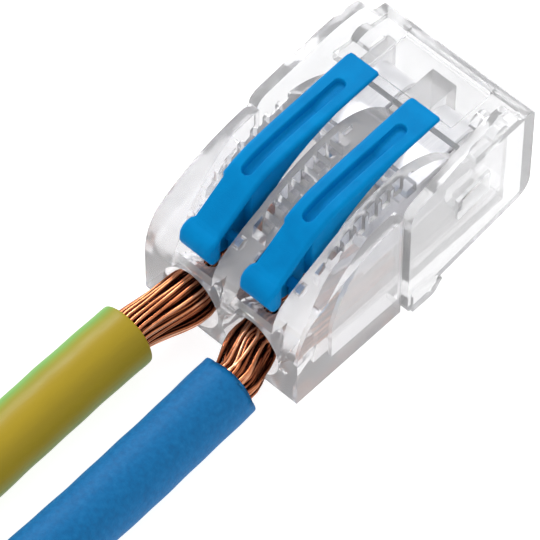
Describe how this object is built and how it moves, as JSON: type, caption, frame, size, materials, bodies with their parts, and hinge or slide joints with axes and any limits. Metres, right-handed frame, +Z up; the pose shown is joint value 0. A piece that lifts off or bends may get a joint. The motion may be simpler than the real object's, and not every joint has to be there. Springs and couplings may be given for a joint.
{
  "type": "lever wire connector",
  "caption": "Clear splicing connector with a lever over each wire entry, a push-fit rear cover, and stranded wires clamped in its ports.",
  "frame": {"origin": "middle of the connector's base, under its bounding box, without the wires", "axes": "+X across the poles, +Y from the wire entries to the rear cover, +Z up through the levers"},
  "size_m": [0.0154, 0.0605, 0.0129],
  "materials": {
    "clear_housing": "clear polycarbonate, polished mould finish",
    "clear_cover": "clear polycarbonate, polished mould finish",
    "lever_blue": "satin blue moulded plastic",
    "tinned_copper": "tin-plated copper",
    "spring_steel": "bright stainless spring strip",
    "bare_copper": "bare copper strands",
    "insulation_green_yellow": "olive yellow insulation with green stripes",
    "insulation_blue": "matte blue insulation"
  },
  "bodies": {
    "housing": {"front_housing": "clear_housing", "rear_cover": "clear_cover", "busbar": "tinned_copper", "spring_left_anchor": "spring_steel", "spring_right_anchor": "spring_steel"},
    "lever_left": {"lever_left": "lever_blue"},
    "lever_right": {"lever_right": "lever_blue"},
    "clamp_left": {"spring_left_clamp": "spring_steel"},
    "clamp_right": {"spring_right_clamp": "spring_steel"},
    "wire_left": {"wire_left_strands": "bare_copper", "wire_left_insulation": "insulation_green_yellow"},
    "wire_right": {"wire_right_strands": "bare_copper", "wire_right_insulation": "insulation_blue"}
  },
  "joints": [
    {"name": "lever_left_hinge", "type": "hinge", "parent": "housing", "child": "lever_left", "pos_m": [-0.0028, -0.0089, 0.00775], "axis": [1, 0, 0], "range_deg": [0, 85]},
    {"name": "clamp_left_flex", "type": "hinge", "parent": "housing", "child": "clamp_left", "pos_m": [-0.0028, 0.0078, 0.0053], "axis": [-1, 0, 0], "range_deg": [0, 12.6]},
    {"name": "wire_left_pull", "type": "slide", "parent": "housing", "child": "wire_left", "axis": [0, -1, 0], "range_m": [0, 0.01]},
    {"name": "lever_right_hinge", "type": "hinge", "parent": "housing", "child": "lever_right", "pos_m": [0.0028, -0.0089, 0.00775], "axis": [1, 0, 0], "range_deg": [0, 85]},
    {"name": "clamp_right_flex", "type": "hinge", "parent": "housing", "child": "clamp_right", "pos_m": [0.0028, 0.0078, 0.0053], "axis": [-1, 0, 0], "range_deg": [0, 12.6]},
    {"name": "wire_right_pull", "type": "slide", "parent": "housing", "child": "wire_right", "axis": [0, -1, 0], "range_m": [0, 0.01]}
  ],
  "couplings": [
    {"joint": "clamp_left_flex", "follows": "lever_left_hinge", "ratio": 0.147},
    {"joint": "clamp_right_flex", "follows": "lever_right_hinge", "ratio": 0.147}
  ]
}
